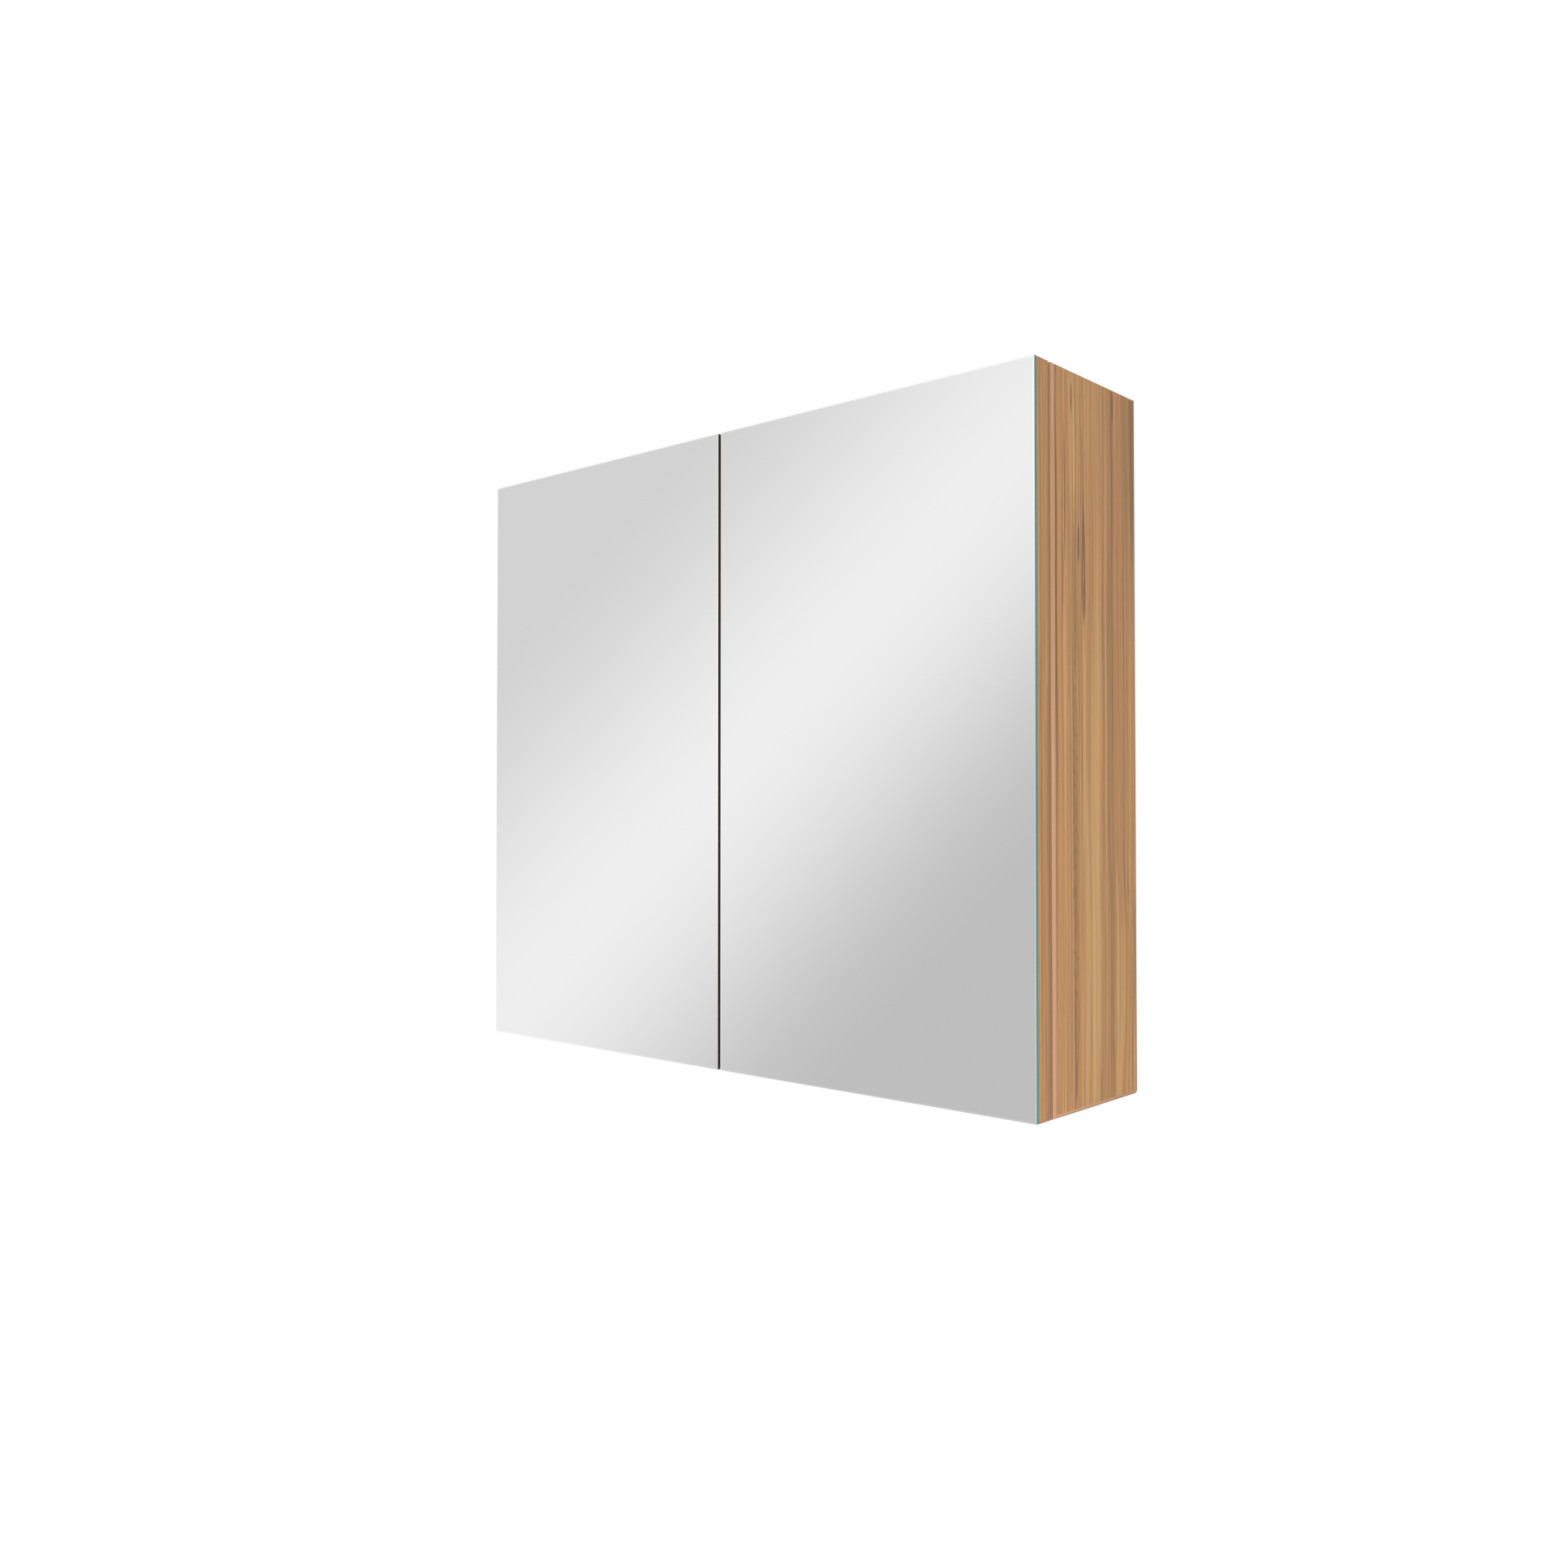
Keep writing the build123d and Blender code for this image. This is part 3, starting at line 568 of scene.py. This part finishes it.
def door_bands():
    """Bands round the door board: upright grain, reddish along the top and bottom edges, a painted
    shade line along the back edge and a painted highlight line along the front edge.
    """
    # Painted shade along the back edge, beside the gap to the carcass, and a painted highlight along
    # the front arris, next to the mirror bond
    rear_painted_shade = paint(162, 121, 82)
    front_painted_highlight = paint(192, 144, 108)
    reddish = paint(168, 112, 82)
    painted_line_share = 0.35
    end_share = 0.85
    rear_shade_fade = (door_back - 0.005, door_back - 0.001)
    front_highlight_fade = (door_front + 0.0022, door_front + 0.0004)
    material, g, shader, place = new_material("door board edge bands")
    vector = place.outputs["Object"]
    part = g.parts(vector)
    sway = g.group(sway_group, Vector=vector)["Sway"]
    grain = g.group(grain_group, Vector=vector, Seed=door_seed, Sway=sway, Contrast=1.15, Red=0.12)
    # Painted shade towards the back edge, then a painted highlight at the front edge
    rear = g.span(part["Y"], *rear_shade_fade)
    colour = g.mix(g.math("MULTIPLY", rear, painted_line_share), grain["Color"], rear_painted_shade)
    front = g.span(part["Y"], *front_highlight_fade)
    colour = g.mix(g.math("MULTIPLY", front, painted_line_share), colour, front_painted_highlight)
    above = g.math("GREATER_THAN", part["Z"], top_z - door_band)
    below = g.math("LESS_THAN", part["Z"], bottom_z + door_band)
    ends = g.math("MAXIMUM", above, below)
    colour = g.mix(g.math("MULTIPLY", ends, end_share), colour, reddish)
    finish_wood(g, shader, grain, colour)
    return material


def back_board():
    """Thin back: decor towards the inside, bare brown hardboard towards the wall."""
    dark_fibres = paint(126, 92, 62)
    light_fibres = paint(152, 114, 80)
    stain = paint(118, 86, 58)
    stain_share = 0.4
    material, g, shader, place = new_material("back panel")
    vector = place.outputs["Object"]
    sway = g.group(sway_group, Vector=vector)["Sway"]
    grain = g.group(grain_group, Vector=vector, Seed=back_seed, Sway=sway)
    wear = g.group(wear_group, Vector=vector, Patch_Size=0.03, Grit_Size=0.0012)
    fibres = g.mix(wear["Grit"], dark_fibres, light_fibres)
    fibres = g.mix(g.math("MULTIPLY", wear["Patches"], stain_share), fibres, stain)
    rear = g.math("GREATER_THAN", g.parts(place.outputs["Normal"])["Y"], half_turned)
    finish_wood(g, shader, grain, g.mix(rear, grain["Color"], fibres))
    return material


def beech():
    """Pale beech with its grain along the dowel."""
    material, g, shader, place = new_material("beech dowel")
    vector = along_x(g, place.outputs["Object"])
    grain = g.group(grain_group, Vector=vector, Seed=beech_seed, Red=0.0,
                    Dark=paint(196, 160, 116), Middle=paint(214, 180, 136), Light=paint(226, 196, 154))
    finish_wood(g, shader, grain, grain["Color"])
    return material


# Mirrors and glass

def mirror_pane():
    """Silvered front, arris shaded nearly flat, and a sea-green edge with a dark brown painted shade
    in the middle gap.
    """
    front_green = paint(56, 134, 132)
    rear_green = paint(64, 140, 138)
    # Painted shade: the dark brown stands in for the shadow inside the gap between the doors
    gap_painted_shade = paint(76, 66, 54)
    material, g, shader, place = new_material("mirror glass")
    vector = place.outputs["Object"]
    part = g.parts(vector)
    facing = g.parts(place.outputs["Normal"])["Y"]
    edge = g.math("GREATER_THAN", facing, -half_turned)
    bent = g.math("GREATER_THAN", facing, -flat_limit)
    arris = g.math("MULTIPLY", bent, g.math("LESS_THAN", facing, -half_turned))
    wear = g.group(wear_group, Vector=vector, Patch_Size=0.25, Grit_Size=0.002)
    recess = g.math("SUBTRACT", part["Y"], glass_front)
    green = g.mix(g.span(recess, *green_fade), front_green, rear_green)
    # Pane edges near the middle of the cabinet take the painted shade of the gap
    gap_shade_mask = g.math("LESS_THAN", g.math("ABSOLUTE", part["X"]), gap_shade_half)
    edge_colour = g.mix(gap_shade_mask, green, gap_painted_shade)
    colour = g.mix(arris, grey(mirror_reflectance), white)
    g.feed(shader.inputs["Base Color"], g.mix(edge, colour, edge_colour))
    g.feed(shader.inputs["Metallic"], g.math("SUBTRACT", 1.0, edge))
    haze = g.math("MULTIPLY_ADD", wear["Patches"], haze_spread, least_haze)
    roughness = g.math("MAXIMUM", haze, g.math("MULTIPLY", edge, edge_roughness))
    g.feed(shader.inputs["Roughness"], roughness)
    near_flat = g.math("MULTIPLY", g.math("MULTIPLY", recess, arris), arris_polish)
    g.feed(shader.inputs["Normal"], g.bump(near_flat, 1.0))
    shader.inputs["Specular IOR Level"].default_value = 0.3
    return material


def bond():
    """Matt pinkish bond between the board and the mirror, its pale tone partly a painted highlight
    that stands in for the lit front arris of the board.
    """
    material, g, shader, place = new_material("mirror bond")
    wear = g.group(wear_group, Vector=place.outputs["Object"], Patch_Size=0.004, Grit_Size=0.0005)
    # The pale pinkish tone is partly painted light, so the line reads as the lit board arris in its
    # recess
    colour = g.mix(wear["Patches"], paint(176, 134, 112), paint(196, 152, 128))
    g.feed(shader.inputs["Base Color"], colour)
    g.feed(shader.inputs["Roughness"], g.between(wear["Grit"], 0.7, 0.85))
    return material


def shelf_glass():
    """Clear glass, with a sea-green tint at its ground edges."""
    clear = paint(240, 250, 247)
    sea_green = paint(120, 196, 184)
    material, g, shader, place = new_material("shelf glass")
    level = g.math("ABSOLUTE", g.parts(place.outputs["Normal"])["Z"])
    edge = g.math("LESS_THAN", level, half_turned)
    wear = g.group(wear_group, Vector=place.outputs["Object"], Patch_Size=0.05, Grit_Size=0.001)
    ground = g.math("MULTIPLY", edge, ground_roughness)
    g.feed(shader.inputs["Base Color"], g.mix(edge, clear, sea_green))
    g.feed(shader.inputs["Roughness"], g.math("MULTIPLY_ADD", wear["Patches"], 0.01, ground))
    shader.inputs["Transmission Weight"].default_value = 1.0
    shader.inputs["IOR"].default_value = 1.5
    return material


# Metals and plastics

def metal(name, dark, light, roughness):
    """Plated steel with soft patches and fine grit."""
    material, g, shader, place = new_material(name)
    wear = g.group(wear_group, Vector=place.outputs["Object"], Patch_Size=0.006, Grit_Size=0.0004)
    g.feed(shader.inputs["Base Color"], g.mix(wear["Patches"], dark, light))
    g.feed(shader.inputs["Roughness"], g.math("MULTIPLY_ADD", wear["Grit"], 0.1, roughness))
    g.feed(shader.inputs["Normal"], g.bump(wear["Grit"], 0.00002, 0.4))
    shader.inputs["Metallic"].default_value = 1.0
    return material


def plastic(name, dark, light, roughness):
    """Moulded plastic or rubber with a fine texture."""
    material, g, shader, place = new_material(name)
    wear = g.group(wear_group, Vector=place.outputs["Object"], Patch_Size=0.02, Grit_Size=0.0005)
    g.feed(shader.inputs["Base Color"], g.mix(wear["Patches"], dark, light))
    g.feed(shader.inputs["Roughness"], g.math("MULTIPLY_ADD", wear["Grit"], 0.12, roughness))
    g.feed(shader.inputs["Normal"], g.bump(wear["Grit"], 0.00003, 0.3))
    return material


finishes = {
    "mirror_pane": mirror_pane(),
    "adhesive": bond(),
    "door_board": door_decor(),
    "door_band": door_bands(),
    "side_decor": side_decor(),
    "inside_decor": inside_decor(),
    "lipping": lipping(),
    "thin_band": carcass_bands(),
    "back_board": back_board(),
    "beech_dowel": beech(),
    "shelf_glass": shelf_glass(),
    "pin_steel": metal("shelf pin steel", paint(186, 186, 184), paint(208, 208, 206), 0.22),
    "clear_sleeve": plastic("soft clear sleeve", paint(206, 210, 208), paint(220, 224, 222), 0.35),
    "hanger_plastic": plastic("hanger plastic", paint(222, 219, 212), paint(230, 227, 220), 0.42),
    "zinc_steel": metal("zinc plated steel", paint(170, 173, 176), paint(198, 200, 202), 0.32),
    "hinge_nickel": metal("nickel plated steel", paint(196, 192, 186), paint(216, 212, 206), 0.2),
    "screw_steel": metal("screw steel", paint(176, 176, 174), paint(202, 202, 200), 0.28),
    "bumper_rubber": plastic("bumper", paint(214, 218, 216), paint(226, 230, 228), 0.3),
}
for row in frame["record"]["subparts"]:
    for slot in nodes[row["node"]].material_slots:
        slot.material = finishes[row["material_slot"]]


# Studio

def make_world():
    """White background, even pale light, and a soft banded room for glossy rays."""
    world = bpy.data.worlds.new("studio")
    bpy.context.scene.world = world
    world.use_nodes = True
    g = Graph(world.node_tree)
    background = next(n for n in world.node_tree.nodes if n.type == "BACKGROUND")
    direction = g.add("ShaderNodeTexCoord").outputs["Generated"]
    lean = g.vector_math("DOT_PRODUCT", direction, band_direction.normalized())
    ramp = g.add("ShaderNodeValToRGB")
    ramp.color_ramp.interpolation = "EASE"
    elements = ramp.color_ramp.elements
    while len(elements) < len(room_bands):
        elements.new(0.5)
    for element, (band_lean, shown) in zip(elements, room_bands):
        element.position = (band_lean + 1) / 2
        element.color = grey(shown / mirror_reflectance)
    g.feed(ramp.inputs["Fac"], g.math("MULTIPLY_ADD", lean, 0.5, 0.5))
    path = g.add("ShaderNodeLightPath").outputs
    seen = g.math("MAXIMUM", path["Is Camera Ray"], path["Is Transmission Ray"])
    colour = g.mix(path["Is Glossy Ray"], grey(world_light), ramp.outputs["Color"])
    g.feed(background.inputs["Color"], g.mix(seen, colour, white))
    background.inputs["Strength"].default_value = 1.0


def finished(mesh, name):
    """Turns a bmesh into an object at the origin."""
    data = bpy.data.meshes.new(name)
    mesh.to_mesh(data)
    mesh.free()
    made = bpy.data.objects.new(name, data)
    bpy.context.scene.collection.objects.link(made)
    return made


def make_floor():
    """Pale floor with soft shadows, white to the camera and not seen in the mirrors."""
    mesh = bmesh.new()
    bmesh.ops.create_grid(mesh, x_segments=1, y_segments=1, size=floor_half)
    bmesh.ops.translate(mesh, verts=mesh.verts, vec=(0, 0, bottom_z - floor_drop))
    floor = finished(mesh, "floor")
    material, g, shader, place = new_material("pale floor")
    wear = g.group(wear_group, Vector=place.outputs["Object"], Patch_Size=0.8, Grit_Size=0.02)
    colour = g.mix(wear["Patches"], paint(226, 226, 224), paint(230, 230, 228))
    g.feed(shader.inputs["Base Color"], colour)
    path = g.add("ShaderNodeLightPath").outputs
    seen = g.math("MAXIMUM", path["Is Camera Ray"], path["Is Transmission Ray"])
    shader.inputs["Roughness"].default_value = floor_roughness
    shader.inputs["Emission Color"].default_value = white
    g.feed(shader.inputs["Emission Strength"], g.math("MULTIPLY", seen, floor_glow))
    floor.data.materials.append(material)
    floor.visible_glossy = False


def add_lamp(name, place, target, size, watts):
    """Soft square lamp that faces a point and isn't mirrored."""
    data = bpy.data.lights.new(name, "AREA")
    data.size = size
    data.energy = watts
    lamp = bpy.data.objects.new(name, data)
    lamp.location = place
    lamp.rotation_euler = (Vector(target) - Vector(place)).to_track_quat("-Z", "Y").to_euler()
    lamp.visible_glossy = False
    lamp.visible_camera = False
    bpy.context.scene.collection.objects.link(lamp)


def make_camera():
    """Camera at the photograph's place, looking up a little, without roll or shift."""
    data = bpy.data.cameras.new("camera")
    data.sensor_width = sensor_width
    data.lens = sensor_width * focal_pixels / photo_size
    camera = bpy.data.objects.new("camera", data)
    camera.location = camera_place
    camera.rotation_euler = (math.radians(90 + camera_pitch), 0, math.radians(camera_azimuth))
    bpy.context.scene.collection.objects.link(camera)
    bpy.context.scene.camera = camera


make_world()
make_floor()
for lamp_values in lamps:
    add_lamp(*lamp_values)
make_camera()
bpy.context.scene.view_settings.view_transform = "Standard"
